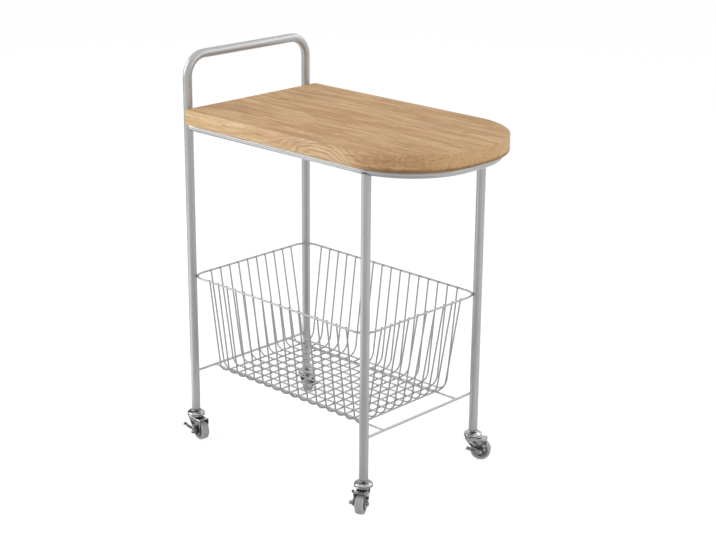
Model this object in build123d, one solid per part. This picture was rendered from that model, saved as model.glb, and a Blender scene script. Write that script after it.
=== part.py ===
from build123d import *
import math
import os

# A kitchen storage cart: a tubular steel frame with a push handle, a solid wood worktop with a
# rounded right end, a welded wire basket and four swivel casters with side brakes.
# Millimetres. X runs along the cart to its rounded end, Y to the back and Z up from the floor.
# The origin is on the floor in the middle of the cart.

# Frame
LEG_SPACING_X = 590.0
LEG_SPACING_Y = 396.0
LEFT_LEG_X = -362.0
LEG_DIAMETER = 22.0
LEG_WALL = 1.5
LEG_BOTTOM = 79.0
HANDLE_TOP = 997.0
HANDLE_BEND = 52.0
HOOP_DIAMETER = 18.0
HOOP_WALL = 1.5
HOOP_OVERHANG = 142.0
HOOP_BEND = 171.0
SADDLE_DEPTH = 5.0
WELD_GAP = 0.05

# Worktop
WORKTOP_TOP = 862.0
WORKTOP_THICKNESS = 38.0
WORKTOP_OVERHANG = 22.0
WORKTOP_LEFT_GAP = 3.0
WORKTOP_ARRIS = 2.0
LUG_WIDTH = 24.0
LUG_REACH = 26.0
LUG_THICKNESS = 2.5
LUG_HOLE = 5.0
LUG_INSET = 92.0

# Basket
RIM_DIAMETER = 5.0
RIM_HEIGHT = 434.0
RIM_BEND = 38.0
CROSS_ROD_DIAMETER = 6.0
CROSS_ROD_HEIGHT = 178.4
FLOOR_ROD_DIAMETER = 5.0
FLOOR_ROD_INSET = 68.0
WIRE_DIAMETER = 4.0
WIRE_LAYER_GAP = 0.15
CROSS_WIRE_COUNT = 16
CROSS_WIRE_PITCH = 31.2
CROSS_WIRE_INSET = 35.5
CROSS_WIRE_BEND = 28.0
LENGTH_WIRE_COUNT = 10
LENGTH_WIRE_PITCH = 30.9
LENGTH_WIRE_INSET = 47.0
LENGTH_WIRE_BEND = 25.0

# Casters
WHEEL_DIAMETER = 50.0
WHEEL_WIDTH = 20.0
TYRE_DEPTH = 7.0
TYRE_SHOULDER = 2.0
HUB_WIDTH = 16.0
HUB_WEB = 10.8
HUB_RIM = 2.0
HUB_BOSS_DIAMETER = 13.0
TRAIL = 21.0
AXLE_DIAMETER = 6.0
FORK_INNER_WIDTH = 24.0
FORK_SHEET = 2.0
FORK_TOP = 57.0
FORK_FRONT_REACH = 18.0
FORK_BACK_REACH = 36.0
FORK_BACK_DROP = 8.0
FORK_FOOT_RADIUS = 12.0
HOOD_BEND = 3.0
RACE_DIAMETER = 45.0
RACE_HEIGHT = 6.0
RACE_LIP = 3.0
RACE_SHOULDER = 5.0
RACE_CROWN = 27.0
RACE_NECK = 28.0
BALL_GAP = 1.5
BALL_RING_WIDTH = 6.0
BALL_RING_SETBACK = 2.0
STEM_DIAMETER = 8.0
STEM_GRIP = 22.0
RIVET_DIAMETER = 14.0
RIVET_HEIGHT = 2.5
RIVET_CHAMFER = 1.0
NUT_ACROSS_FLATS = 13.0
NUT_HEIGHT = 4.0
PLUG_FLANGE = 3.0
PLUG_DEPTH = 24.0
BOLT_ACROSS_FLATS = 10.0
BOLT_HEAD = 4.5
DOME_NUT_HEIGHT = 9.0
CAM_RADIUS = 8.0
CAM_NOSE_RADIUS = 6.0
CAM_RISE = 8.0
CAM_THICKNESS = 4.0
LEVER_SHEET = 2.0
LEVER_EYE_DIAMETER = 14.0
LEVER_REACH = 35.0
LEVER_WIDTH = 9.0
LEVER_JOGGLE = 5.2
LEVER_TAB = 6.5
LEVER_REST_ANGLE = 20.0
RUNNING_FIT = 0.08
SIDE_PLAY = 0.3

# Places worked out from the sizes above
RIGHT_LEG_X = LEFT_LEG_X + LEG_SPACING_X
FRONT_LEG_Y = -LEG_SPACING_Y / 2
BACK_LEG_Y = LEG_SPACING_Y / 2
LEG_RADIUS = LEG_DIAMETER / 2
WORKTOP_UNDERSIDE = WORKTOP_TOP - WORKTOP_THICKNESS
HOOP_HEIGHT = WORKTOP_UNDERSIDE - HOOP_DIAMETER / 2
HOOP_RIGHT_X = RIGHT_LEG_X + HOOP_OVERHANG
WORKTOP_LEFT_X = LEFT_LEG_X + LEG_RADIUS + WORKTOP_LEFT_GAP
WORKTOP_RIGHT_X = HOOP_RIGHT_X + WORKTOP_OVERHANG
MIDDLE_X = (LEFT_LEG_X + RIGHT_LEG_X) / 2
AXLE_HEIGHT = WHEEL_DIAMETER / 2
RACE_TOP = LEG_BOTTOM - PLUG_FLANGE - NUT_HEIGHT
CHEEK_FACE = FORK_INNER_WIDTH / 2 + FORK_SHEET
CAM_FACE = CHEEK_FACE + SIDE_PLAY
LEVER_FACE = CAM_FACE + CAM_THICKNESS + WELD_GAP
AXLE_NUT_FACE = LEVER_FACE + LEVER_SHEET + SIDE_PLAY

# Each caster's leg and the way its wheel trails at rest, in degrees from X
CASTERS = {
    "front_left": (LEFT_LEG_X, FRONT_LEG_Y, -7.5),
    "front_right": (RIGHT_LEG_X, FRONT_LEG_Y, -61.0),
    "back_left": (LEFT_LEG_X, BACK_LEG_Y, 119.0),
    "back_right": (RIGHT_LEG_X, BACK_LEG_Y, 34.0),
}


def bar(path, section, side=None):
    """A section carried along a path from square to its start, its X axis along side if given."""
    return sweep(Plane(path @ 0, x_dir=side, z_dir=path % 0) * section, path=path)


def tube(path, diameter, wall):
    return bar(path, Circle(diameter / 2)) - bar(path, Circle(diameter / 2 - wall))


def rod(start, end, diameter):
    return bar(Edge.make_line(start, end), Circle(diameter / 2))


def leg_clearance(x, y):
    """The space that a leg takes, with the weld gap, for coping what meets it."""
    height = HANDLE_TOP
    return Pos(x, y, height / 2) * Cylinder(LEG_RADIUS + WELD_GAP, height)


# Frame


def handle_leg_tube():
    """One tube: up the front left leg, over as the handle and down the back left leg."""
    axis_top = HANDLE_TOP - LEG_RADIUS
    corners = [
        (LEFT_LEG_X, FRONT_LEG_Y, LEG_BOTTOM),
        (LEFT_LEG_X, FRONT_LEG_Y, axis_top),
        (LEFT_LEG_X, BACK_LEG_Y, axis_top),
        (LEFT_LEG_X, BACK_LEG_Y, LEG_BOTTOM),
    ]
    return tube(FilletPolyline(*corners, radius=HANDLE_BEND), LEG_DIAMETER, LEG_WALL)


def hoop_path():
    corners = [
        (LEFT_LEG_X, FRONT_LEG_Y, HOOP_HEIGHT),
        (HOOP_RIGHT_X, FRONT_LEG_Y, HOOP_HEIGHT),
        (HOOP_RIGHT_X, BACK_LEG_Y, HOOP_HEIGHT),
        (LEFT_LEG_X, BACK_LEG_Y, HOOP_HEIGHT),
    ]
    return FilletPolyline(*corners, radius=HOOP_BEND)


def hoop_space():
    """The space that the hoop takes, with the weld gap, for coping what meets it."""
    return bar(hoop_path(), Circle(HOOP_DIAMETER / 2 + WELD_GAP))


def top_hoop():
    """The tube under the worktop's rim, coped to the two left legs."""
    hoop = tube(hoop_path(), HOOP_DIAMETER, HOOP_WALL)
    return hoop - leg_clearance(LEFT_LEG_X, FRONT_LEG_Y) - leg_clearance(LEFT_LEG_X, BACK_LEG_Y)


def left_rail():
    """The tube that closes the hoop between the two left legs."""
    line = Edge.make_line((LEFT_LEG_X, FRONT_LEG_Y, HOOP_HEIGHT), (LEFT_LEG_X, BACK_LEG_Y, HOOP_HEIGHT))
    rail = tube(line, HOOP_DIAMETER, HOOP_WALL) - hoop_space()
    return rail - leg_clearance(LEFT_LEG_X, FRONT_LEG_Y) - leg_clearance(LEFT_LEG_X, BACK_LEG_Y)


def right_leg(y):
    """A leg whose top is coped to saddle the underside of the hoop."""
    top = HOOP_HEIGHT - SADDLE_DEPTH
    line = Edge.make_line((RIGHT_LEG_X, y, LEG_BOTTOM), (RIGHT_LEG_X, y, top))
    return tube(line, LEG_DIAMETER, LEG_WALL) - hoop_space()


def cross_rod(x):
    """A rod from the front leg to the back leg, coped to both."""
    line = rod((x, FRONT_LEG_Y, CROSS_ROD_HEIGHT), (x, BACK_LEG_Y, CROSS_ROD_HEIGHT), CROSS_ROD_DIAMETER)
    return line - leg_clearance(x, FRONT_LEG_Y) - leg_clearance(x, BACK_LEG_Y)


def floor_rod(y):
    """A rod under the basket floor, from one cross rod to the other."""
    end_gap = CROSS_ROD_DIAMETER / 2 + WELD_GAP
    start = (LEFT_LEG_X + end_gap, y, CROSS_ROD_HEIGHT)
    end = (RIGHT_LEG_X - end_gap, y, CROSS_ROD_HEIGHT)
    return rod(start, end, FLOOR_ROD_DIAMETER)


# Worktop


def worktop():
    """The board, square at the left and with two large round corners at the right."""
    length = WORKTOP_RIGHT_X - WORKTOP_LEFT_X
    depth = LEG_SPACING_Y + 2 * WORKTOP_OVERHANG
    outline = Rectangle(length, depth)
    outline = fillet(outline.vertices().group_by(Axis.X)[-1], HOOP_BEND + WORKTOP_OVERHANG)
    middle = Pos((WORKTOP_LEFT_X + WORKTOP_RIGHT_X) / 2, 0, WORKTOP_UNDERSIDE)
    board = middle * extrude(outline, WORKTOP_THICKNESS)
    rims = board.edges().filter_by(lambda edge: edge.bounding_box().size.Z < WORKTOP_ARRIS)
    return fillet(rims, WORKTOP_ARRIS)


def lug():
    """A flat tab that lies against the board and reaches inwards from the hoop, along +Y."""
    plate = Rectangle(LUG_WIDTH, LUG_REACH, align=(Align.CENTER, Align.MIN))
    plate = fillet(plate.vertices().group_by(Axis.Y)[-1], LUG_WIDTH / 4)
    plate = plate - Pos(0, LUG_REACH * 2 / 3) * Circle(LUG_HOLE / 2)
    return Pos(0, 0, WORKTOP_UNDERSIDE - LUG_THICKNESS) * extrude(plate, LUG_THICKNESS)


def worktop_lugs():
    """Five tabs on the hoop, coped to its tube: two in front, two behind and one at the end."""
    left = LEFT_LEG_X + LUG_INSET
    right = RIGHT_LEG_X - LUG_INSET
    lugs = [Pos(x, FRONT_LEG_Y, 0) * lug() for x in (left, right)]
    lugs += [Pos(x, BACK_LEG_Y, 0) * Rot(0, 0, 180) * lug() for x in (left, right)]
    lugs += [Pos(HOOP_RIGHT_X, 0, 0) * Rot(0, 0, 90) * lug()]
    return Compound(children=[tab - hoop_space() for tab in lugs])


# Basket


def rim_outset():
    """How far the rim runs outside the leg centres, so that its corners touch the legs."""
    reach = LEG_RADIUS + RIM_DIAMETER / 2 + WELD_GAP
    return RIM_BEND - (RIM_BEND + reach) / math.sqrt(2)


def basket_rim():
    """The closed rim wire with round corners that lie against the insides of the legs."""
    length = LEG_SPACING_X + 2 * rim_outset()
    depth = LEG_SPACING_Y + 2 * rim_outset()
    path = RectangleRounded(length, depth, RIM_BEND).wire()
    return Pos(MIDDLE_X, 0, RIM_HEIGHT) * bar(path, Circle(RIM_DIAMETER / 2))


def u_wire(half_span, floor_height, inset, bend):
    """A wire along X and Z: down one wall, along the floor and up the other, its flats level.

    half_span is from the middle of the basket to the centre of the rim wire.
    """
    touch = (RIM_DIAMETER + WIRE_DIAMETER) / 2 + WELD_GAP
    floor_corner = half_span - inset
    lean = (inset - touch) / (RIM_HEIGHT - floor_height)
    wall = half_span - touch * math.sqrt(1 + lean * lean)
    top = RIM_HEIGHT + RIM_DIAMETER / 2
    top_wall = wall + (wall - floor_corner) * (top - RIM_HEIGHT) / (RIM_HEIGHT - floor_height)
    corners = [
        (-top_wall, 0, top),
        (-floor_corner, 0, floor_height),
        (floor_corner, 0, floor_height),
        (top_wall, 0, top),
    ]
    return bar(FilletPolyline(*corners, radius=bend), RegularPolygon(WIRE_DIAMETER / 2, 6, False), (0, 1, 0))


def row(count, pitch):
    """Evenly spaced places either side of zero."""
    return [(index - (count - 1) / 2) * pitch for index in range(count)]


def cross_wire_height():
    return CROSS_ROD_HEIGHT + (FLOOR_ROD_DIAMETER + WIRE_DIAMETER) / 2 + WELD_GAP


def basket_cross_wires():
    """The U-shaped wires that make the front and back walls, laid on the floor rods."""
    half_span = LEG_SPACING_Y / 2 + rim_outset()
    inset = CROSS_WIRE_INSET + rim_outset()
    wire = Rot(0, 0, 90) * u_wire(half_span, cross_wire_height(), inset, CROSS_WIRE_BEND)
    return Compound(children=[Pos(MIDDLE_X + x, 0, 0) * wire for x in row(CROSS_WIRE_COUNT, CROSS_WIRE_PITCH)])


def basket_length_wires():
    """The U-shaped wires that make the end walls, laid on the crosswise wires."""
    half_span = LEG_SPACING_X / 2 + rim_outset()
    inset = LENGTH_WIRE_INSET + rim_outset()
    height = cross_wire_height() + WIRE_DIAMETER + WIRE_LAYER_GAP
    wire = u_wire(half_span, height, inset, LENGTH_WIRE_BEND)
    return Compound(children=[Pos(MIDDLE_X, y, 0) * wire for y in row(LENGTH_WIRE_COUNT, LENGTH_WIRE_PITCH)])


# Casters: each piece is made on the leg's centreline, with the wheel trailing along X


def turned(*outline):
    """A solid of revolution about Z from an outline of radii and heights."""
    face = make_face(Polyline(*[(radius, 0, height) for radius, height in outline], close=True))
    return revolve(face, Axis.Z)


def plug():
    """The leg's end plug, with the flange that the leg stands on."""
    bore = STEM_DIAMETER / 2 + WELD_GAP
    body = LEG_RADIUS - LEG_WALL - WELD_GAP
    flange = LEG_BOTTOM - PLUG_FLANGE
    top = LEG_BOTTOM + PLUG_DEPTH
    return turned(
        (bore, flange),
        (LEG_RADIUS, flange),
        (LEG_RADIUS, LEG_BOTTOM),
        (body, LEG_BOTTOM),
        (body, top),
        (bore, top),
    )


def nut():
    """The lock nut between the plug and the upper race."""
    hexagon = RegularPolygon(NUT_ACROSS_FLATS / 2, 6, False) - Circle(STEM_DIAMETER / 2 + WELD_GAP)
    return Pos(0, 0, RACE_TOP) * extrude(hexagon, NUT_HEIGHT)


def stem():
    """The threaded stem: its lower end is the rivet that the fork turns on."""
    radius = STEM_DIAMETER / 2
    head = FORK_TOP - FORK_SHEET - SIDE_PLAY
    top = LEG_BOTTOM + STEM_GRIP
    return turned(
        (0, head - RIVET_HEIGHT),
        (RIVET_DIAMETER / 2 - RIVET_CHAMFER, head - RIVET_HEIGHT),
        (RIVET_DIAMETER / 2, head - RIVET_HEIGHT + RIVET_CHAMFER),
        (RIVET_DIAMETER / 2, head),
        (radius, head),
        (radius, top),
        (0, top),
    )


def upper_race():
    """The fixed cup of the swivel bearing, a shallow dome."""
    bore = STEM_DIAMETER / 2 + WELD_GAP
    rim = RACE_DIAMETER / 2
    bottom = FORK_TOP + RACE_HEIGHT + BALL_GAP
    lip = bottom + RACE_LIP
    return turned(
        (bore, bottom),
        (rim, bottom),
        (rim, lip),
        (rim - RACE_SHOULDER, lip + (RACE_TOP - lip) * 3 / 4),
        (RACE_CROWN / 2, RACE_TOP),
        (bore, RACE_TOP),
    )


def fork():
    """The pressed fork: a hooded channel over the wheel, below the turning cup of the bearing."""
    foot = Pos(TRAIL, AXLE_HEIGHT) * Circle(FORK_FOOT_RADIUS)
    top_edge = Line((-FORK_FRONT_REACH, FORK_TOP), (FORK_BACK_REACH, FORK_TOP))
    back_edge = Line((FORK_BACK_REACH, FORK_TOP), (FORK_BACK_REACH, FORK_TOP - FORK_BACK_DROP))
    side = make_hull(foot.edges() + top_edge.edges() + back_edge.edges())
    block = extrude(Plane.XZ * side, CHEEK_FACE, both=True)
    block = fillet(block.faces().sort_by(Axis.Z)[-1].edges().filter_by(Axis.X), HOOD_BEND)
    inside = Pos(TRAIL, 0, FORK_TOP / 2 - FORK_SHEET) * Box(4 * FORK_BACK_REACH, FORK_INNER_WIDTH, FORK_TOP)
    inside = fillet(inside.faces().sort_by(Axis.Z)[-1].edges().filter_by(Axis.X), HOOD_BEND - FORK_SHEET)
    channel = block - inside
    rim = RACE_DIAMETER / 2
    top = FORK_TOP + RACE_HEIGHT
    cup = turned((0, FORK_TOP), (RACE_NECK / 2, FORK_TOP), (rim, top - RACE_LIP), (rim, top), (0, top))
    pivot = Pos(0, 0, FORK_TOP) * Cylinder(STEM_DIAMETER / 2 + RUNNING_FIT, 4 * RACE_HEIGHT)
    axle_hole = Pos(TRAIL, 0, AXLE_HEIGHT) * Rot(90, 0, 0) * Cylinder(AXLE_DIAMETER / 2 + WELD_GAP, 4 * CHEEK_FACE)
    return channel + cup - pivot - axle_hole


def ball_ring():
    """The ring of the swivel bearing between the two cups, which turns with the fork."""
    bottom = FORK_TOP + RACE_HEIGHT
    top = bottom + BALL_GAP - SIDE_PLAY
    outer = RACE_DIAMETER / 2 - BALL_RING_SETBACK
    inner = outer - BALL_RING_WIDTH
    return turned((inner, bottom), (outer, bottom), (outer, top), (inner, top))


def axle():
    """The axle bolt along Y, with its hexagon head at the left and a domed nut at the lever."""
    radius = AXLE_DIAMETER / 2
    hexagon = RegularPolygon(BOLT_ACROSS_FLATS / 2, 6, False)
    shank = Pos(0, 0, -CHEEK_FACE) * extrude(Circle(radius), CHEEK_FACE + AXLE_NUT_FACE)
    head = Pos(0, 0, -CHEEK_FACE - BOLT_HEAD) * extrude(hexagon, BOLT_HEAD)
    flats = Pos(0, 0, AXLE_NUT_FACE) * extrude(hexagon, DOME_NUT_HEIGHT / 2)
    dome_foot = AXLE_NUT_FACE + DOME_NUT_HEIGHT / 2
    dome = turned(
        (0, dome_foot),
        (BOLT_ACROSS_FLATS * 0.45, dome_foot),
        (BOLT_ACROSS_FLATS * 0.36, dome_foot + DOME_NUT_HEIGHT * 0.3),
        (radius / 2, dome_foot + DOME_NUT_HEIGHT / 2),
        (0, dome_foot + DOME_NUT_HEIGHT / 2),
    )
    return Pos(TRAIL, 0, AXLE_HEIGHT) * Rot(90, 0, 0) * (shank + head + flats + dome)


def tyre():
    """The tyre: a flat tread with sloping shoulders."""
    outer = WHEEL_DIAMETER / 2
    inner = outer - TYRE_DEPTH
    half = WHEEL_WIDTH / 2
    shoulder = half - TYRE_SHOULDER
    ring = turned(
        (inner, -half),
        (outer - TYRE_SHOULDER, -half),
        (outer, -shoulder),
        (outer, shoulder),
        (outer - TYRE_SHOULDER, half),
        (inner, half),
    )
    return Pos(TRAIL, 0, AXLE_HEIGHT) * Rot(90, 0, 0) * ring


def hub():
    """The wheel's core: a rim in the tyre, a dished web and a long boss that runs on the axle."""
    outer = WHEEL_DIAMETER / 2 - TYRE_DEPTH - WELD_GAP
    bore = AXLE_DIAMETER / 2 + RUNNING_FIT
    end = FORK_INNER_WIDTH / 2 - SIDE_PLAY
    side = [
        (bore, end),
        (HUB_BOSS_DIAMETER / 2, end),
        (HUB_BOSS_DIAMETER / 2, HUB_WEB / 2),
        (outer - HUB_RIM, HUB_WEB / 2),
        (outer - HUB_RIM, HUB_WIDTH / 2),
        (outer, HUB_WIDTH / 2),
    ]
    core = turned(*side, *[(radius, -height) for radius, height in reversed(side)])
    return Pos(TRAIL, 0, AXLE_HEIGHT) * Rot(90, 0, 0) * core


def brake_cam():
    """The brake's cam, an oval plate that turns on the axle beside the cheek."""
    nose = Pos(0, CAM_RISE) * Circle(CAM_NOSE_RADIUS)
    oval = make_hull(Circle(CAM_RADIUS).edges() + nose.edges())
    plate = extrude(Plane.XZ * (oval - Circle(AXLE_DIAMETER / 2 + RUNNING_FIT)), CAM_THICKNESS)
    return Pos(TRAIL, -CAM_FACE, AXLE_HEIGHT) * plate


def brake_lever():
    """The brake's sheet arm: a round eye on the axle, stepped outwards to a foot tab."""
    line_y = -LEVER_FACE - LEVER_SHEET / 2
    step_y = line_y - LEVER_JOGGLE
    points = [
        (0, line_y, 0),
        (-LEVER_REACH * 0.4, line_y, 0),
        (-LEVER_REACH * 0.7, step_y, 0),
        (-LEVER_REACH, step_y, 0),
        (-LEVER_REACH, step_y - LEVER_TAB, 0),
    ]
    arm = bar(FilletPolyline(*points, radius=LEVER_SHEET), Rectangle(LEVER_WIDTH, LEVER_SHEET), (0, 0, 1))
    eye_middle = Pos(0, line_y, 0) * Rot(90, 0, 0)
    eye = eye_middle * Cylinder(LEVER_EYE_DIAMETER / 2, LEVER_SHEET)
    hole = eye_middle * Cylinder(AXLE_DIAMETER / 2 + RUNNING_FIT, 2 * LEVER_SHEET)
    lever = eye + arm - hole
    return Pos(TRAIL, 0, AXLE_HEIGHT) * Rot(0, LEVER_REST_ANGLE, 0) * lever


CASTER_PIECES = {
    "plug": plug,
    "nut": nut,
    "stem": stem,
    "upper_race": upper_race,
    "ball_ring": ball_ring,
    "fork": fork,
    "axle": axle,
    "tyre": tyre,
    "hub": hub,
    "brake_cam": brake_cam,
    "brake_lever": brake_lever,
}

pieces = {
    "handle_leg_tube": handle_leg_tube(),
    "front_right_leg": right_leg(FRONT_LEG_Y),
    "back_right_leg": right_leg(BACK_LEG_Y),
    "top_hoop": top_hoop(),
    "left_rail": left_rail(),
    "left_cross_rod": cross_rod(LEFT_LEG_X),
    "right_cross_rod": cross_rod(RIGHT_LEG_X),
    "front_floor_rod": floor_rod(FRONT_LEG_Y + FLOOR_ROD_INSET),
    "back_floor_rod": floor_rod(BACK_LEG_Y - FLOOR_ROD_INSET),
    "worktop": worktop(),
    "worktop_lugs": worktop_lugs(),
    "basket_rim": basket_rim(),
    "basket_cross_wires": basket_cross_wires(),
    "basket_length_wires": basket_length_wires(),
}
for part_name, make_piece in CASTER_PIECES.items():
    piece = make_piece()
    for caster, (leg_x, leg_y, trail_angle) in CASTERS.items():
        pieces[f"{caster}_{part_name}"] = Pos(leg_x, leg_y, 0) * Rot(0, 0, trail_angle) * piece

os.makedirs("parts", exist_ok=True)
for node, solid in pieces.items():
    export_step(solid, f"parts/{node}.step")

# Joint places and axes, in metres
for caster, (leg_x, leg_y, trail_angle) in CASTERS.items():
    angle = math.radians(trail_angle)
    axle_x = leg_x + TRAIL * math.cos(angle)
    axle_y = leg_y + TRAIL * math.sin(angle)
    print(caster, "swivel", [leg_x / 1000, leg_y / 1000, FORK_TOP / 1000])
    print(caster, "axle", [round(axle_x / 1000, 6), round(axle_y / 1000, 6), AXLE_HEIGHT / 1000])
    print(caster, "axle axis", [round(-math.sin(angle), 6), round(math.cos(angle), 6), 0.0])
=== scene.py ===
import math

import bmesh
import bpy
from mathutils import Matrix, Vector


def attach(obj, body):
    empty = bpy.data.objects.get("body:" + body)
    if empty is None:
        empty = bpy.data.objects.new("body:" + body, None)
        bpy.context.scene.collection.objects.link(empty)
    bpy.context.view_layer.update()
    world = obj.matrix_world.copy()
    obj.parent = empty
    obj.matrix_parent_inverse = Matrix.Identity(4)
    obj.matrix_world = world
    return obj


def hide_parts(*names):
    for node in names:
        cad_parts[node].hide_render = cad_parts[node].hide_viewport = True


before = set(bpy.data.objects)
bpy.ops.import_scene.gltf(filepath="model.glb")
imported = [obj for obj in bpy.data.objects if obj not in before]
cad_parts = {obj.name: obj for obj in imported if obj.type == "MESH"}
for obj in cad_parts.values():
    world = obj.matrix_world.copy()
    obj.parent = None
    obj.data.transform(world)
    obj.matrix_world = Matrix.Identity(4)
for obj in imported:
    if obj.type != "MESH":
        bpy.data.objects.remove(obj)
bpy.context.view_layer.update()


# The view of the photograph. The cart stands on a pale studio floor with no wall behind it, under
# large soft lamps, and is seen from a little above its front right corner with a long lens. Dark
# and pale cards around it show in the metal only, as the sides of a studio do.

CAMERA_PLACE = (2.54690, -2.66574, 1.72131)
CAMERA_TURN = (71.4985, -0.4340, 43.6443)
CAMERA_LENS = 80.920
WORLD_LIGHT = 0.54
WORLD_SEEN_MORE = 0.46
FLOOR_REACH = 14.0
FLOOR_HEIGHT = -0.0005
FLOOR_GLOW = 0.80
DARK_CARD = 0.62
WHITE_CARD = 2.0
BACK_CARD = 2.6
SIDE_CARD = 0.20
LOW_CARD_HEIGHT = 0.002
DAPPLE_SCALE = 70.0
WHITE = (1.0, 1.0, 1.0, 1.0)


def placed(name, data):
    """A new object with that data, in the scene."""
    thing = bpy.data.objects.new(name, data)
    bpy.context.scene.collection.objects.link(thing)
    return thing


camera = placed("camera", bpy.data.cameras.new("camera"))
camera.location = CAMERA_PLACE
camera.rotation_euler = [math.radians(angle) for angle in CAMERA_TURN]
camera.data.lens = CAMERA_LENS
camera.data.sensor_width = 36.0
camera.data.clip_start = 0.05
bpy.context.scene.camera = camera
bpy.context.scene.view_settings.view_transform = "Standard"


def soft_lamp(name, place, aim, width, height, watts, shines=True):
    lamp = placed(name, bpy.data.lights.new(name, "AREA"))
    lamp.data.shape = "RECTANGLE"
    lamp.data.size = width
    lamp.data.size_y = height
    lamp.data.energy = watts
    lamp.location = place
    direction = Vector(aim) - Vector(place)
    lamp.rotation_euler = direction.to_track_quat("-Z", "Y").to_euler()
    lamp.visible_glossy = shines


soft_lamp("key_lamp", (-2.30, -2.00, 2.00), (0.0, 0.0, 0.5), 2.4, 2.4, 62.0)
soft_lamp("top_lamp", (0.10, 0.20, 3.40), (0.0, 0.0, 0.5), 2.8, 2.8, 7.0)
soft_lamp("side_lamp", (2.90, 1.30, 1.70), (0.0, 0.0, 0.5), 1.8, 1.8, 15.0)
soft_lamp("back_lamp", (0.90, 2.90, 2.00), (0.0, 0.0, 0.6), 2.0, 1.6, 12.0)
soft_lamp("fill_lamp", (3.30, -1.20, 1.50), (0.0, 0.0, 0.6), 3.0, 3.0, 26.0, shines=False)


def first_output(value):
    """A node stands for its first output, and all else for itself."""
    return value.outputs[0] if isinstance(value, bpy.types.Node) else value


def add_node(tree, kind, inputs=None, **settings):
    """A node of that kind, with its settings and its sockets' values or links."""
    node = tree.nodes.new(kind)
    for setting, value in settings.items():
        setattr(node, setting, value)
    for socket, value in (inputs or {}).items():
        value = first_output(value)
        if isinstance(value, bpy.types.NodeSocket):
            tree.links.new(value, node.inputs[socket])
        else:
            node.inputs[socket].default_value = value
    return node


def tree_of(*values):
    """The node tree of the first of some values that is a node or one of its sockets."""
    return next(value.id_data for value in values if hasattr(value, "id_data"))


def maths(operation, *values):
    inputs = dict(enumerate(values))
    return add_node(tree_of(*values), "ShaderNodeMath", inputs, operation=operation)


def plus(first, second):
    return maths("ADD", first, second)


def times(first, second):
    return maths("MULTIPLY", first, second)


def seen_directly(tree):
    """1 for what the camera, a reflection or a look through glass sees, 0 for light on the cart."""
    path = add_node(tree, "ShaderNodeLightPath").outputs
    seen = maths("MAXIMUM", path["Is Camera Ray"], path["Is Glossy Ray"])
    return maths("MAXIMUM", seen, path["Is Transmission Ray"])


world = bpy.data.worlds.new("studio")
bpy.context.scene.world = world
world.use_nodes = True
world_tree = world.node_tree
world_tree.nodes.clear()
world_strength = plus(times(seen_directly(world_tree), WORLD_SEEN_MORE), WORLD_LIGHT)
world_light = add_node(world_tree, "ShaderNodeBackground", {"Color": WHITE, "Strength": world_strength})
add_node(world_tree, "ShaderNodeOutputWorld", {"Surface": world_light})


def bare_material(name):
    """A material and its empty node tree."""
    material = bpy.data.materials.new(name)
    material.use_nodes = True
    material.node_tree.nodes.clear()
    return material, material.node_tree


def end_material(tree, surface):
    add_node(tree, "ShaderNodeOutputMaterial", {"Surface": surface})


def level_corners(x, y, half_x, half_y, height):
    """The corners of a level rectangle about a place."""
    return [(x + a * half_x, y + b * half_y, height) for a, b in ((-1, -1), (1, -1), (1, 1), (-1, 1))]


def stage_panel(name, corners, material):
    """A flat piece of the studio, not part of the cart."""
    mesh = bpy.data.meshes.new(name)
    mesh.from_pydata(corners, [], [(0, 1, 2, 3)])
    mesh.materials.append(material)
    panel = placed(name, mesh)
    return panel


floor_paint, floor_tree = bare_material("studio_floor")
plain_floor = add_node(floor_tree, "ShaderNodeBsdfDiffuse", {"Color": (0.80, 0.80, 0.80, 1.0)})
shaded_floor = add_node(floor_tree, "ShaderNodeBsdfDiffuse", {"Color": (0.34, 0.34, 0.34, 1.0)})
white_floor = add_node(floor_tree, "ShaderNodeEmission", {"Color": WHITE, "Strength": FLOOR_GLOW})
seen_floor = add_node(floor_tree, "ShaderNodeAddShader", {0: shaded_floor, 1: white_floor})
floor_inputs = {0: seen_directly(floor_tree), 1: plain_floor, 2: seen_floor}
floor_mix = add_node(floor_tree, "ShaderNodeMixShader", floor_inputs)
end_material(floor_tree, floor_mix)
stage_panel("studio_floor", level_corners(0.0, 0.0, FLOOR_REACH, FLOOR_REACH, FLOOR_HEIGHT), floor_paint)


def between(value, low, high, to_low, to_high):
    """A value from low to high carried smoothly over to the range from to_low to to_high."""
    inputs = {0: value, 1: low, 2: high, 3: to_low, 4: to_high}
    return add_node(value.id_data, "ShaderNodeMapRange", inputs, interpolation_type="SMOOTHSTEP")


def vector_maths(operation, first, second):
    inputs = {0: first, 1: second}
    return add_node(first.id_data, "ShaderNodeVectorMath", inputs, operation=operation)


def object_place(tree, stretch=(1.0, 1.0, 1.0)):
    """The place on the piece in metres, each axis multiplied by its stretch."""
    coordinates = add_node(tree, "ShaderNodeTexCoord").outputs["Object"]
    return vector_maths("MULTIPLY", coordinates, stretch)


def noise(place, scale, detail=2.0, roughness=0.5):
    inputs = {"Vector": place, "Scale": scale, "Detail": detail, "Roughness": roughness}
    return add_node(place.id_data, "ShaderNodeTexNoise", inputs).outputs["Fac"]


def reflector(name, brightness, corners, shade=None):
    """A card beside the cart that only shows in what shines, dappled down to a shade if given."""
    paint, tree = bare_material(name)
    strength = brightness
    if shade is not None:
        strength = between(noise(object_place(tree), DAPPLE_SCALE), 0.44, 0.56, shade, brightness)
    end_material(tree, add_node(tree, "ShaderNodeEmission", {"Strength": strength}))
    card = stage_panel(name, corners, paint)
    card.visible_camera = False
    card.visible_diffuse = False
    card.visible_shadow = False


def low_card(name, brightness, places):
    reflector(name, brightness, [(x, y, LOW_CARD_HEIGHT) for x, y in places])


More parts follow.
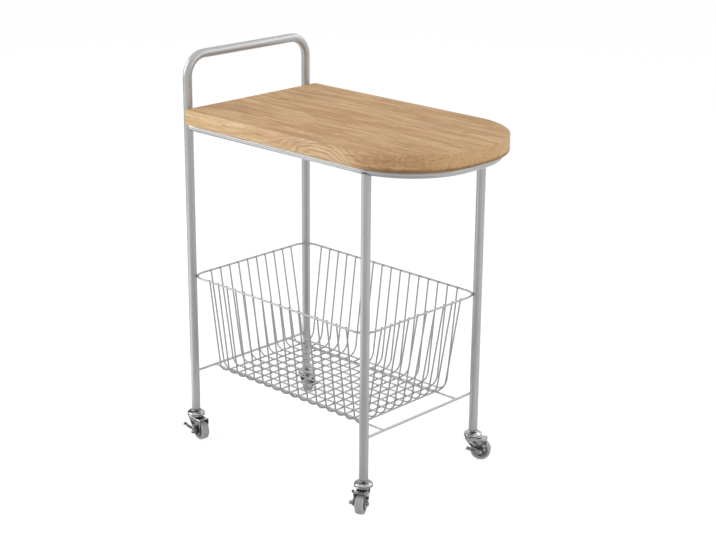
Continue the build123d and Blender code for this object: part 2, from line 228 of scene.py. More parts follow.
def upright_card(name, brightness, start, end, low, high):
    """A card that stands over a line on the floor."""
    reflector(name, brightness, [(*start, low), (*end, low), (*end, high), (*start, high)])


low_card("dark_card", DARK_CARD, [(0.55, -2.60), (2.60, -1.10), (0.95, 0.10), (-0.35, -0.62)])
low_card("white_card", WHITE_CARD, [(-2.90, -1.30), (-0.75, -2.60), (-0.42, -0.75), (-0.80, 0.60)])
upright_card("side_card", SIDE_CARD, (-0.63, 0.027), (-0.691, -0.318), 0.09, 0.96)
upright_card("back_card", BACK_CARD, (-0.90, 2.60), (2.60, 2.60), 1.85, 3.60)


# The tubular frame. One Ø22 steel tube makes both left legs and the push handle, two more make
# the right legs, and an Ø18 tube bent to a long hoop carries the worktop, closed by a short rail.
# The whole frame is welded, then sprayed a satin silver grey over zinc.

LEFT_LEG_X = -0.362
RIGHT_LEG_X = 0.228
LEG_Y = 0.198
LEG_RADIUS = 0.011
LEG_BOTTOM = 0.079
HANDLE_AXIS_TOP = 0.986
HANDLE_BEND = 0.052
HOOP_RADIUS = 0.009
HOOP_HEIGHT = 0.815
HOOP_RIGHT_X = 0.370
HOOP_BEND = 0.171
WELD_SINK = 0.002
SADDLE_DEPTH = 0.0052


def less(first, second):
    return maths("SUBTRACT", first, second)


def blended(amount, first, second, blend_type="MIX"):
    tree = tree_of(amount, first, second)
    inputs = {0: amount, 6: first, 7: second}
    return add_node(tree, "ShaderNodeMix", inputs, data_type="RGBA", blend_type=blend_type).outputs[2]


def finish_group(name):
    """An empty shader group for a finish; returns the tree, its inputs and its output node."""
    group = bpy.data.node_groups.new(name, "ShaderNodeTree")
    given = {"Colour": "Color", "Worn colour": "Color", "Roughness": "Float", "Grain": "Float"}
    for socket, kind in given.items():
        group.interface.new_socket(socket, in_out="INPUT", socket_type=f"NodeSocket{kind}")
    for socket, kind in {"Colour": "Color", "Roughness": "Float", "Height": "Float"}.items():
        group.interface.new_socket(socket, in_out="OUTPUT", socket_type=f"NodeSocket{kind}")
    return group, group.nodes.new("NodeGroupInput").outputs, group.nodes.new("NodeGroupOutput")


def end_finish(result, colour, roughness, height):
    for socket, value in (("Colour", colour), ("Roughness", roughness), ("Height", height)):
        result.id_data.links.new(first_output(value), result.inputs[socket])


sprayed_coat, coat_in, coat_out = finish_group("sprayed_coat")
coat_place = object_place(sprayed_coat)
coat_cloud = noise(coat_place, 14.0, 4.0, 0.6)
coat_fleck = noise(coat_place, coat_in["Grain"])
coat_rub = between(noise(coat_place, 55.0, 6.0, 0.7), 0.60, 0.76, 0.0, 0.55)
coat_even = times(plus(times(coat_cloud, 0.16), 0.92), plus(times(coat_fleck, 0.20), 0.90))
coat_shades = {0: coat_even, 1: coat_even, 2: coat_even}
coat_tint = add_node(sprayed_coat, "ShaderNodeCombineColor", coat_shades)
coat_base = blended(1.0, coat_in["Colour"], coat_tint, "MULTIPLY")
coat_colour = blended(coat_rub, coat_base, coat_in["Worn colour"])
coat_gloss = less(plus(coat_in["Roughness"], times(coat_cloud, 0.10)), times(coat_rub, 0.12))
end_finish(coat_out, coat_colour, coat_gloss, coat_fleck)


def coated(name, group, colour, worn, roughness, grain, metallic, bump, bump_distance, specular=0.5):
    """A material on one of the finish groups, with that finish's own values."""
    material, tree = bare_material(name)
    values = {"Colour": (*colour, 1.0), "Worn colour": (*worn, 1.0), "Roughness": roughness, "Grain": grain}
    finish = add_node(tree, "ShaderNodeGroup", values, node_tree=group).outputs
    relief = {"Strength": bump, "Distance": bump_distance, "Height": finish["Height"]}
    inputs = {
        "Base Color": finish["Colour"],
        "Roughness": finish["Roughness"],
        "Metallic": metallic,
        "Specular IOR Level": specular,
        "Normal": add_node(tree, "ShaderNodeBump", relief),
    }
    end_material(tree, add_node(tree, "ShaderNodeBsdfPrincipled", inputs))
    return material


tube_silver = coated(
    "tube_silver", sprayed_coat, (0.420, 0.422, 0.427), (0.490, 0.492, 0.496),
    roughness=0.26, grain=1500.0, metallic=0.50, bump=0.25, bump_distance=0.00008,
)


def geometry_tree(name, floats=(), wholes=(), vectors=()):
    """An empty geometry tree with a geometry socket, named sizes and a material."""
    tree = bpy.data.node_groups.new(name, "GeometryNodeTree")
    kinds = {"Float": floats, "Int": wholes, "Vector": vectors}
    for kind, sockets in {"Geometry": ["Geometry"], **kinds, "Material": ["Material"]}.items():
        for socket in sockets:
            tree.interface.new_socket(socket, in_out="INPUT", socket_type=f"NodeSocket{kind}")
    tree.interface.new_socket("Geometry", in_out="OUTPUT", socket_type="NodeSocketGeometry")
    return tree, tree.nodes.new("NodeGroupInput").outputs, tree.nodes.new("NodeGroupOutput")


def filleted(given, steps):
    """The line that a tree is given, with its corners rounded to the bend radius."""
    line = add_node(tree_of(given[0]), "GeometryNodeMeshToCurve", {"Mesh": given["Geometry"]})
    inputs = {"Curve": line, "Radius": given["Bend radius"], "Count": steps, "Limit Radius": True}
    return add_node(line.id_data, "GeometryNodeFilletCurve", inputs, mode="POLY")


def swept(curve, radius, sides, caps=True):
    """A round skin along a curve."""
    inputs = {"Resolution": sides, "Radius": radius}
    section = add_node(curve.id_data, "GeometryNodeCurvePrimitiveCircle", inputs)
    inputs = {"Curve": curve, "Profile Curve": section, "Fill Caps": caps}
    return add_node(curve.id_data, "GeometryNodeCurveToMesh", inputs)


def finish_tree(given, result, geometry):
    """Every tree ends by making its copies real, smoothing them and giving them their material."""
    tree = geometry.id_data
    real = add_node(tree, "GeometryNodeRealizeInstances", {"Geometry": geometry})
    smooth = add_node(tree, "GeometryNodeSetShadeSmooth", {0: real})
    painted = add_node(tree, "GeometryNodeSetMaterial", {"Geometry": smooth, "Material": given["Material"]})
    tree.links.new(painted.outputs[0], result.inputs[0])


def close_surface(mesh, sharp_degrees=40.0):
    """Welds a mesh's doubled points, turns its faces outwards and keeps its creases sharp."""
    work = bmesh.new()
    work.from_mesh(mesh)
    bmesh.ops.remove_doubles(work, verts=work.verts, dist=1e-6)
    bmesh.ops.recalc_face_normals(work, faces=work.faces)
    for face in work.faces:
        face.smooth = True
    work.to_mesh(mesh)
    work.free()
    mesh.set_sharp_from_angle(angle=math.radians(sharp_degrees))


def mesh_of(thing):
    """The mesh that an object's modifiers make, as a plain one."""
    return bpy.data.meshes.new_from_object(thing.evaluated_get(bpy.context.evaluated_depsgraph_get()))


def grown(name, tree, values, points, edges=(), turns=(), material=tube_silver):
    """Runs a geometry tree on points and edges, and returns its result as a plain mesh object."""
    seed = bpy.data.meshes.new(name)
    seed.from_pydata([Vector(point) for point in points], list(edges), [])
    if turns:
        attribute = seed.attributes.new("turn", "FLOAT_VECTOR", "POINT")
        for index, turn in enumerate(turns):
            attribute.data[index].vector = [math.radians(angle) for angle in turn]
    piece = placed(name, seed)
    modifier = piece.modifiers.new("grown", "NODES")
    modifier.node_group = tree
    values = {**values, "Material": material}
    for item in tree.interface.items_tree:
        if item.in_out == "INPUT" and item.name in values:
            modifier[item.identifier] = values[item.name]
    mesh = mesh_of(piece)
    piece.modifiers.clear()
    piece.data = mesh
    mesh.name = name
    close_surface(mesh)
    return piece


bent_tube, tube_in, tube_out = geometry_tree(
    "bent_tube", ["Tube radius", "Bend radius"], ["Bend steps", "Sides"]
)
tube_bends = filleted(tube_in, tube_in["Bend steps"])
finish_tree(tube_in, tube_out, swept(tube_bends, tube_in["Tube radius"], tube_in["Sides"]))


def tube(name, corners, radius, bend=0.0, steps=1, sides=40, closed=False, material=tube_silver):
    """A round tube or wire along straight runs with bends of one radius."""
    edges = [(index, index + 1) for index in range(len(corners) - 1)]
    if closed:
        edges.append((len(corners) - 1, 0))
    values = {"Tube radius": radius, "Bend radius": bend, "Bend steps": steps, "Sides": sides}
    return grown(name, bent_tube, values, corners, edges, material=material)


def fit(piece, body, slot, *nodes):
    """Fixes a finished piece to its body, in place of the solids named. The slot is not used."""
    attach(piece, body)
    if nodes:
        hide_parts(*nodes)
    return piece


def u_corners(first, second):
    """The corners of a U from the front to the back, from its two (x, z) places."""
    return [(x, side * LEG_Y, z) for side, x, z in ((-1, *first), (-1, *second), (1, *second), (1, *first))]


handle_corners = u_corners((LEFT_LEG_X, LEG_BOTTOM), (LEFT_LEG_X, HANDLE_AXIS_TOP))
handle = tube("handle_and_left_legs", handle_corners, LEG_RADIUS, HANDLE_BEND, steps=20, sides=48)
fit(handle, "frame", "tube_paint", "handle_leg_tube")

hoop_start = LEFT_LEG_X + LEG_RADIUS - WELD_SINK
hoop_corners = u_corners((hoop_start, HOOP_HEIGHT), (HOOP_RIGHT_X, HOOP_HEIGHT))
hoop = tube("worktop_hoop", hoop_corners, HOOP_RADIUS, HOOP_BEND, steps=36)
fit(hoop, "frame", "tube_paint", "top_hoop")

rail_end = LEG_Y - LEG_RADIUS + WELD_SINK
rail_line = [(LEFT_LEG_X, -rail_end, HOOP_HEIGHT), (LEFT_LEG_X, rail_end, HOOP_HEIGHT)]
fit(tube("short_rail", rail_line, HOOP_RADIUS), "frame", "tube_paint", "left_rail")

for side_name, side in (("front", -1), ("back", 1)):
    leg_line = [(RIGHT_LEG_X, side * LEG_Y, height) for height in (LEG_BOTTOM, HOOP_HEIGHT - SADDLE_DEPTH)]
    leg = tube(f"{side_name}_right_leg_tube", leg_line, LEG_RADIUS, sides=48)
    fit(leg, "frame", "tube_paint", f"{side_name}_right_leg")


# The rods under the basket. A Ø6 rod joins each pair of legs and two Ø5 rods run between them;
# they are plain steel rod, cut to length, welded on and sprayed with the frame.

CROSS_ROD_RADIUS = 0.003
CROSS_ROD_HEIGHT = 0.1784
CROSS_ROD_SINK = 0.001
FLOOR_ROD_RADIUS = 0.0025
FLOOR_ROD_Y = 0.130
FLOOR_ROD_SINK = 0.0005

for rod_name, rod_x in (("left_cross_rod", LEFT_LEG_X), ("right_cross_rod", RIGHT_LEG_X)):
    rod_end = LEG_Y - LEG_RADIUS + CROSS_ROD_SINK
    rod_line = [(rod_x, -rod_end, CROSS_ROD_HEIGHT), (rod_x, rod_end, CROSS_ROD_HEIGHT)]
    fit(tube(f"{rod_name}_steel", rod_line, CROSS_ROD_RADIUS, sides=24), "frame", "tube_paint", rod_name)

for rod_name, rod_y in (("front_floor_rod", -FLOOR_ROD_Y), ("back_floor_rod", FLOOR_ROD_Y)):
    rod_line = [
        (LEFT_LEG_X + CROSS_ROD_RADIUS - FLOOR_ROD_SINK, rod_y, CROSS_ROD_HEIGHT),
        (RIGHT_LEG_X - CROSS_ROD_RADIUS + FLOOR_ROD_SINK, rod_y, CROSS_ROD_HEIGHT),
    ]
    fit(tube(f"{rod_name}_steel", rod_line, FLOOR_ROD_RADIUS, sides=20), "frame", "tube_paint", rod_name)


# The weld beads of the frame. Each joint is run round with a thin rippled fillet bead that
# follows the line where one round tube meets another, and is sprayed over with the frame.

WELD_LIFT = 0.0002
SADDLE_TUCK = 0.0003
BEAD_SIDES = 8
POINTS_A_RIPPLE = 4.0


def squared(value):
    return maths("POWER", value, 2.0)


def set_at_points(given, skin):
    """Copies of a bead at the points that a tree is given, each turned as its point says."""
    tree = skin.id_data
    turn = add_node(tree, "GeometryNodeInputNamedAttribute", {"Name": "turn"}, data_type="FLOAT_VECTOR")
    inputs = {"Points": given["Geometry"], "Instance": skin, "Rotation": turn}
    return add_node(tree, "GeometryNodeInstanceOnPoints", inputs)


weld_bead, bead_in, bead_out = geometry_tree(
    "weld_bead", ["Tube radius", "Base radius", "Least depth", "Bead radius"], ["Ripples"]
)
bead_steps = times(bead_in["Ripples"], POINTS_A_RIPPLE)
bead_loop = add_node(weld_bead, "GeometryNodeCurvePrimitiveCircle", {"Resolution": bead_steps})
bead_index = add_node(weld_bead, "GeometryNodeInputIndex")
bead_angle = times(maths("DIVIDE", bead_index, bead_steps), 2.0 * math.pi)
bead_y = times(maths("SINE", bead_angle), bead_in["Tube radius"])
bead_z = times(maths("COSINE", bead_angle), bead_in["Tube radius"])
depth_square = less(squared(bead_in["Base radius"]), squared(maths("ABSOLUTE", bead_y)))
bead_x = maths("SQRT", maths("MAXIMUM", depth_square, squared(bead_in["Least depth"])))
bead_place = add_node(weld_bead, "ShaderNodeCombineXYZ", {0: bead_x, 1: bead_y, 2: bead_z})
bead_path = add_node(weld_bead, "GeometryNodeSetPosition", {"Geometry": bead_loop, "Position": bead_place})
ripple = plus(times(maths("SINE", times(bead_angle, bead_in["Ripples"])), 0.16), 1.0)
bead_swell = add_node(weld_bead, "GeometryNodeSetCurveRadius", {"Curve": bead_path, "Radius": ripple})
bead_skin = swept(bead_swell, bead_in["Bead radius"], BEAD_SIDES, caps=False)
finish_tree(bead_in, bead_out, set_at_points(bead_in, bead_skin))


def beads(name, tree, values, joints):
    """One of a tree's beads at each joint, a place and a turn, sprayed with the frame."""
    places, turns = zip(*joints)
    fit(grown(name, tree, values, places, turns=turns), "frame", "tube_paint")


def weld_ring(name, joints, tube_radius, base_radius, bead, ripples, least_depth=0.0005):
    """Beads where tubes of one radius run out of tubes of another."""
    values = {"Tube radius": tube_radius, "Base radius": base_radius, "Least depth": least_depth}
    beads(name, weld_bead, {**values, "Bead radius": bead, "Ripples": ripples}, joints)


hoop_joints = [((LEFT_LEG_X, side * LEG_Y, HOOP_HEIGHT), (0, 0, 0)) for side in (-1, 1)]
hoop_joints += [((LEFT_LEG_X, -side * LEG_Y, HOOP_HEIGHT), (0, 0, side * 90)) for side in (-1, 1)]
weld_ring("hoop_and_rail_welds", hoop_joints, HOOP_RADIUS + WELD_LIFT, LEG_RADIUS + WELD_LIFT, 0.0012, 40)

saddle_joints = [((RIGHT_LEG_X, side * LEG_Y, HOOP_HEIGHT), (0, 90, 0)) for side in (-1, 1)]
weld_ring("saddle_welds", saddle_joints, LEG_RADIUS - SADDLE_TUCK, HOOP_RADIUS, 0.0013, 46, 0.0050)

rod_joints = []
for leg_x in (LEFT_LEG_X, RIGHT_LEG_X):
    rod_joints += [((leg_x, -side * LEG_Y, CROSS_ROD_HEIGHT), (0, 0, side * 90)) for side in (-1, 1)]
weld_ring("cross_rod_welds", rod_joints, CROSS_ROD_RADIUS + WELD_LIFT, LEG_RADIUS, 0.0010, 16)

floor_joints = [((LEFT_LEG_X, side * FLOOR_ROD_Y, CROSS_ROD_HEIGHT), (-90, 0, 0)) for side in (-1, 1)]
floor_joints += [((RIGHT_LEG_X, side * FLOOR_ROD_Y, CROSS_ROD_HEIGHT), (-90, 0, 180)) for side in (-1, 1)]
weld_ring("floor_rod_welds", floor_joints, FLOOR_ROD_RADIUS, CROSS_ROD_RADIUS, 0.0007, 14, 0.0015)


# The wire basket. A Ø5 rim wire is welded to the insides of the legs; sixteen Ø4 wires bent to a
# U make the long walls and ten more, laid over them, make the end walls. Every crossing is spot
# welded, and the basket is sprayed silver, a shade darker than the frame.

MIDDLE_X = -0.067
RIM_RADIUS = 0.0025
RIM_HEIGHT = 0.434
RIM_HALF_X = 0.29655
RIM_HALF_Y = 0.19955
RIM_BEND = 0.038
WIRE_RADIUS = 0.002
WIRE_SIDES = 12
WIRE_BEND_STEPS = 9
WIRE_GAP = 0.00005
CROSS_COUNT = 16
CROSS_PITCH = 0.0312
CROSS_FLOOR = 0.18295
CROSS_BEND = 0.028
LENGTH_COUNT = 10
LENGTH_PITCH = 0.0309
LENGTH_FLOOR = 0.1871
LENGTH_BEND = 0.025
FLOOR_CORNER_X = 0.248
FLOOR_CORNER_Y = 0.1625
ROD_SPOT_HEIGHT = 0.18090
RIM_BEAD_LIFT = 0.0006
RIM_BEAD_RISE = 0.0021

wire_silver = coated(
    "wire_silver", sprayed_coat, (0.378, 0.380, 0.384), (0.455, 0.455, 0.459),
    roughness=0.30, grain=1800.0, metallic=0.50, bump=0.2, bump_distance=0.00006,
)

rim_corners = level_corners(MIDDLE_X, 0.0, RIM_HALF_X, RIM_HALF_Y, RIM_HEIGHT)
rim = tube("rim_wire", rim_corners, RIM_RADIUS, RIM_BEND, 12, 20, closed=True, material=wire_silver)
fit(rim, "frame", "wire_paint", "basket_rim")

wire_row, row_in, row_out = geometry_tree(
    "wire_row", ["Wire radius", "Bend radius"], ["Count"], ["First place", "Pitch"]
)
row_wire = swept(filleted(row_in, WIRE_BEND_STEPS), row_in["Wire radius"], WIRE_SIDES)
row_inputs = {"Count": row_in["Count"], "Start Location": row_in["First place"], "Offset": row_in["Pitch"]}
row_places = add_node(wire_row, "GeometryNodeMeshLine", row_inputs, mode="OFFSET")
row_inputs = {"Points": row_places, "Instance": row_wire}
finish_tree(row_in, row_out, add_node(wire_row, "GeometryNodeInstanceOnPoints", row_inputs))


def u_line(half_rim, floor_corner, floor_height, along):
    """The four corners of a wire that leans against the rim's inner side at both of its ends."""
    touch = RIM_RADIUS + WIRE_RADIUS + WIRE_GAP
    lean = (half_rim - floor_corner - touch) / (RIM_HEIGHT - floor_height)
    wall = half_rim - touch * math.sqrt(1.0 + lean * lean)
    top = RIM_HEIGHT + RIM_RADIUS
    top_wall = wall + (wall - floor_corner) * RIM_RADIUS / (RIM_HEIGHT - floor_height)
    places = [(-top_wall, top), (-floor_corner, floor_height), (floor_corner, floor_height), (top_wall, top)]
    return [(out, 0.0, height) if along == "x" else (0.0, out, height) for out, height in places]


def wires(name, node, line, bend, count, first, pitch):
    """A row of like wires, in place of that node."""
    values = {"Wire radius": WIRE_RADIUS, "Bend radius": bend, "Count": count}
    values.update({"First place": first, "Pitch": pitch})
    row = grown(name, wire_row, values, line, [(0, 1), (1, 2), (2, 3)], material=wire_silver)
    fit(row, "frame", "wire_paint", node)


row_line = u_line(RIM_HALF_Y, FLOOR_CORNER_Y, CROSS_FLOOR, "y")
row_first = (MIDDLE_X - (CROSS_COUNT - 1) / 2 * CROSS_PITCH, 0.0, 0.0)
row_pitch = (CROSS_PITCH, 0.0, 0.0)
wires("long_wall_wires", "basket_cross_wires", row_line, CROSS_BEND, CROSS_COUNT, row_first, row_pitch)

row_line = u_line(RIM_HALF_X, FLOOR_CORNER_X, LENGTH_FLOOR, "x")
row_first = (MIDDLE_X, -(LENGTH_COUNT - 1) / 2 * LENGTH_PITCH, 0.0)
row_pitch = (0.0, LENGTH_PITCH, 0.0)
wires("end_wall_wires", "basket_length_wires", row_line, LENGTH_BEND, LENGTH_COUNT, row_first, row_pitch)

spot_weld, spot_in, spot_out = geometry_tree(
    "spot_weld", ["Pitch X", "Pitch Y"], ["Count X", "Count Y"], ["Middle", "Nugget"]
)
spot_inputs = {"Vertices X": spot_in["Count X"], "Vertices Y": spot_in["Count Y"]}
for axis in "XY":
    spot_inputs[f"Size {axis}"] = times(less(spot_in[f"Count {axis}"], 1.0), spot_in[f"Pitch {axis}"])
spot_grid = add_node(spot_weld, "GeometryNodeMeshGrid", spot_inputs)
spot_inputs = {"Geometry": spot_grid, "Translation": spot_in["Middle"]}
spot_moved = add_node(spot_weld, "GeometryNodeTransform", spot_inputs)
spot_ball = add_node(spot_weld, "GeometryNodeMeshUVSphere", {"Segments": 8, "Rings": 5, "Radius": 1.0})
spot_inputs = {"Points": spot_moved, "Instance": spot_ball, "Scale": spot_in["Nugget"]}
finish_tree(spot_in, spot_out, add_node(spot_weld, "GeometryNodeInstanceOnPoints", spot_inputs))


def spots(name, count_x, pitch_x, count_y, pitch_y, height, nugget):
    """A grid of spot welds about the middle of the basket, each as large as the nugget."""
    values = {"Count X": count_x, "Count Y": count_y, "Pitch X": pitch_x, "Pitch Y": pitch_y}
    values.update({"Middle": (MIDDLE_X, 0.0, height), "Nugget": nugget})
    fit(grown(name, spot_weld, values, [(0.0, 0.0, 0.0)], material=wire_silver), "frame", "wire_paint")


floor_height = (CROSS_FLOOR + LENGTH_FLOOR) / 2
rim_across_x = 2 * (RIM_HALF_X - RIM_RADIUS)
rim_across_y = 2 * (RIM_HALF_Y - RIM_RADIUS)
floor_nugget = (0.0013, 0.0013, 0.0007)
spots("crossing_spots", CROSS_COUNT - 2, CROSS_PITCH, LENGTH_COUNT, LENGTH_PITCH, floor_height, floor_nugget)
rod_nugget = (0.0013, 0.0016, 0.0007)
spots("floor_rod_spots", CROSS_COUNT, CROSS_PITCH, 2, 2 * FLOOR_ROD_Y, ROD_SPOT_HEIGHT, rod_nugget)
spots("long_rim_spots", CROSS_COUNT, CROSS_PITCH, 2, rim_across_y, RIM_HEIGHT, (0.0015, 0.0008, 0.0019))
spots("end_rim_spots", 2, rim_across_x, LENGTH_COUNT, LENGTH_PITCH, RIM_HEIGHT, (0.0008, 0.0015, 0.0019))

short_bead, short_in, short_out = geometry_tree("short_bead", ["Length", "Bead radius"], ["Ripples"])
short_steps = plus(times(short_in["Ripples"], POINTS_A_RIPPLE), 1.0)
short_half = times(short_in["Length"], 0.5)
short_start = add_node(short_bead, "ShaderNodeCombineXYZ", {1: times(short_half, -1.0)})
short_end = add_node(short_bead, "ShaderNodeCombineXYZ", {1: short_half})
short_line = add_node(short_bead, "GeometryNodeCurvePrimitiveLine", {"Start": short_start, "End": short_end})
short_run = add_node(short_bead, "GeometryNodeResampleCurve", {"Curve": short_line, "Count": short_steps})
short_index = add_node(short_bead, "GeometryNodeInputIndex")
short_share = maths("DIVIDE", short_index, less(short_steps, 1.0))
short_taper = maths("POWER", times(times(short_share, less(1.0, short_share)), 4.0), 0.4)
short_swell = plus(times(maths("SINE", times(short_share, 62.0)), 0.12), 1.0)
short_inputs = {"Curve": short_run, "Radius": plus(times(short_taper, short_swell), 0.05)}
short_body = add_node(short_bead, "GeometryNodeSetCurveRadius", short_inputs)
short_skin = swept(short_body, short_in["Bead radius"], BEAD_SIDES)
finish_tree(short_in, short_out, set_at_points(short_in, short_skin))


def bead_runs(name, length, bead, ripples, joints):
    """Short straight beads; each runs along Y turned about Z, and joints are (place, degrees)."""
    values = {"Length": length, "Bead radius": bead, "Ripples": ripples}
    beads(name, short_bead, values, [(place, (0.0, 0.0, turn)) for place, turn in joints])


rim_joints = []
rim_reach = (LEG_RADIUS + RIM_BEAD_LIFT) / math.sqrt(2.0)
for leg_x, inward_x in ((LEFT_LEG_X, 1), (RIGHT_LEG_X, -1)):
    for side in (-1, 1):
        for above in (-1, 1):
            height = RIM_HEIGHT + above * RIM_BEAD_RISE
            place = (leg_x + inward_x * rim_reach, side * (LEG_Y - rim_reach), height)
            rim_joints.append((place, 45.0 if inward_x * side < 0 else -45.0))
bead_runs("rim_to_leg_welds", 0.011, 0.0013, 5, rim_joints)


# The worktop, a 38 mm board of pale oak, square at the handle end and cut to two large round
# corners at the other, with a small arris all round. It is oiled, so the pores stay open, and the
# grain runs lengthwise, with the growth rings showing on the edges.

RING_WIDTH = 0.0072
PITH_Y = 0.150
PITH_Z = 0.417
FIGURE_PLACE = (0.120, -0.220, 0.843)
LOW_PATCH_PLACE = (0.300, -0.200, 0.832)
FIGURE_LIFT = 0.034
PALE_HONEY = (0.676, 0.444, 0.228, 1.0)
DEEP_HONEY = (0.530, 0.305, 0.125, 1.0)
BLUSH_BROWN = (0.548, 0.310, 0.158, 1.0)
# Painted light: how much lighter and yellower the side faces are made than the top.
SIDE_PAINTED_LIGHT = (1.24, 1.43, 1.72, 1.0)
RING_BROWN = (0.350, 0.190, 0.084, 1.0)
DASH_BROWN = (0.270, 0.138, 0.058, 1.0)
FIBRE_BROWN = (0.320, 0.172, 0.076, 1.0)
FIBRE_PALE = (0.780, 0.560, 0.325, 1.0)
LOW_PATCH_BROWN = (0.370, 0.180, 0.080, 1.0)
LOW_EDGE_BROWN = (0.190, 0.096, 0.040, 1.0)
PORE_BROWN = (0.200, 0.108, 0.048, 1.0)

wood, oak = bare_material("oiled_oak")
oak_object = add_node(oak, "ShaderNodeTexCoord").outputs
oak_x, oak_y, oak_z = add_node(oak, "ShaderNodeSeparateXYZ", {0: oak_object["Object"]}).outputs


def oak_noise(stretch, scale, detail, roughness):
    """Noise drawn out along the grain by its stretch."""
    return noise(object_place(oak, stretch), scale, detail, roughness)


wander_y = oak_noise((1.0, 4.0, 4.0), 1.7, 3.0, 0.5)
wander_z = oak_noise((1.1, 5.0, 5.0), 2.6, 3.0, 0.55)
tremble = oak_noise((14.0, 60.0, 60.0), 1.0, 3.0, 0.6)
out_y = less(oak_y, plus(times(less(wander_y, 0.5), 0.150), PITH_Y))
out_z = less(oak_z, plus(times(less(wander_z, 0.5), 0.060), PITH_Z))
pith_distance = maths("SQRT", plus(times(out_y, out_y), times(out_z, out_z)))


def soft_spot(place, stretch):
    """1 at a place in the board, fading to 0 around it."""
    gap = vector_maths("SUBTRACT", oak_object["Object"], place)
    scaled = vector_maths("MULTIPLY", gap, stretch)
    square = vector_maths("DOT_PRODUCT", scaled, scaled).outputs["Value"]
    return maths("EXPONENT", times(square, -1.0))


figure_fade = soft_spot(FIGURE_PLACE, (9.0, 16.0, 9.0))
# A soft spot about the lower front corner of the round end, where the board is made darker.
low_patch_fade = soft_spot(LOW_PATCH_PLACE, (8.5, 9.0, 42.0))
ring_place = less(pith_distance, times(figure_fade, FIGURE_LIFT))
ring_count = plus(maths("DIVIDE", ring_place, RING_WIDTH), times(tremble, 0.9))
ring_phase = maths("FRACT", ring_count)
late_wood = times(between(ring_phase, 0.35, 0.88, 0.0, 1.0), between(ring_phase, 0.90, 1.0, 1.0, 0.0))
ring_index = maths("FLOOR", ring_count)
ring_random = add_node(oak, "ShaderNodeTexWhiteNoise", {"W": ring_index}, noise_dimensions="1D")
late_shade = times(late_wood, plus(times(ring_random.outputs["Value"], 0.75), 0.25))

fibre = oak_noise((13.0, 300.0, 300.0), 1.0, 4.0, 0.62)
fine_fibre = oak_noise((26.0, 1500.0, 1500.0), 1.0, 2.0, 0.5)
dash_field = oak_noise((14.0, 130.0, 130.0), 1.0, 4.0, 0.64)
pore_field = oak_noise((60.0, 1300.0, 1300.0), 1.0, 1.0, 0.5)
streaks = oak_noise((5.5, 46.0, 46.0), 1.0, 5.0, 0.62)
blush = oak_noise((2.2, 12.0, 12.0), 1.3, 2.0, 0.5)
early_wood = between(ring_phase, 0.02, 0.42, 1.0, 0.30)
dashes = times(between(dash_field, 0.54, 0.64, 0.0, 1.0), early_wood)
pores = times(between(pore_field, 0.58, 0.72, 0.0, 1.0), early_wood)

oak_normal = add_node(oak, "ShaderNodeSeparateXYZ", {0: oak_object["Normal"]}).outputs
side_face = between(maths("ABSOLUTE", oak_normal[2]), 0.15, 0.80, 1.0, 0.0)
end_face = between(maths("ABSOLUTE", oak_normal[0]), 0.20, 0.85, 1.0, 0.30)
# Painted light: the side faces are made lighter and yellower than the top, fully towards the handle end and
# fading at the round end, standing in for the front lamp lighting the edges more than the top.
painted_light_run = times(side_face, between(oak_x, 0.16, 0.30, 1.0, 0.22))

streak_share = between(streaks, 0.40, 0.60, -0.5, 0.5)
streak_depth = times(times(streak_share, less(1.0, times(side_face, 0.35))), end_face)
honey = blended(plus(streak_depth, 0.5), PALE_HONEY, DEEP_HONEY)
warm = blended(between(blush, 0.50, 0.70, 0.0, 0.60), honey, BLUSH_BROWN)
painted_light_side = blended(painted_light_run, warm, SIDE_PAINTED_LIGHT, "MULTIPLY")
ring_depth = plus(times(side_face, plus(times(figure_fade, 0.32), 0.06)), 0.34)
ringed = blended(times(late_shade, ring_depth), painted_light_side, RING_BROWN)
dashed = blended(times(dashes, 0.70), ringed, DASH_BROWN)
fibred = blended(between(fibre, 0.36, 0.60, 0.28, 0.0), dashed, FIBRE_BROWN)
lit = blended(between(fibre, 0.52, 0.68, 0.0, 0.40), fibred, FIBRE_PALE)
# Darker towards the bottom at the round end: a ragged brown patch about the lower front corner, and a band
# along the lower edge of the sides.
low_patch_rag = between(oak_noise((6.0, 30.0, 130.0), 1.0, 3.0, 0.6), 0.38, 0.60, 0.15, 0.75)
low_patched = blended(times(low_patch_fade, low_patch_rag), lit, LOW_PATCH_BROWN)
low_edge = between(plus(oak_z, times(tremble, 0.006)), 0.8285, 0.8370, 1.0, 0.0)
low_run = times(low_edge, between(oak_x, 0.18, 0.30, 0.0, 0.85))
low_edge_darkened = blended(times(low_run, side_face), low_patched, LOW_EDGE_BROWN)
oak_colour = blended(times(pores, 0.50), low_edge_darkened, PORE_BROWN)

oak_rough = plus(plus(times(fibre, 0.16), 0.44), times(pores, 0.18))
oak_height = plus(less(times(fine_fibre, 0.35), times(pores, 0.9)), times(late_wood, 0.15))
oak_relief = add_node(oak, "ShaderNodeBump", {"Strength": 0.45, "Distance": 0.00015, "Height": oak_height})
oak_inputs = {"Base Color": oak_colour, "Roughness": oak_rough, "Normal": oak_relief}
oak_inputs["Specular IOR Level"] = 0.14
end_material(oak, add_node(oak, "ShaderNodeBsdfPrincipled", oak_inputs))


def refinish(node, material):
    """A solid whose shape is right keeps its mesh and gets the finished material."""
    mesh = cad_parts[node].data
    mesh.materials.clear()
    mesh.materials.append(material)


refinish("worktop", wood)


# The worktop's fixings. Five flat steel tabs are welded to the inside of the hoop, and a
# button-head socket screw, zinc plated, goes up through each into the board.

SCREW_HEAD_RADIUS = 0.0048
SCREW_HEAD_HEIGHT = 0.0027
SCREW_HEAD_SINK = 0.0002
SOCKET_HALF_WIDTH = 0.0015
SOCKET_FLOOR = 0.0009
SOCKET_TOP = 0.0023
TAB_UNDERSIDE = 0.8215
TAB_LENGTH = 0.026
TAB_HALF_WIDTH = 0.012
SIDE_TABS_X = (-0.270, 0.136)
TAB_BEAD_DROP = 0.0004
TAB_BEAD_SINK = 0.0018

refinish("worktop_lugs", tube_silver)

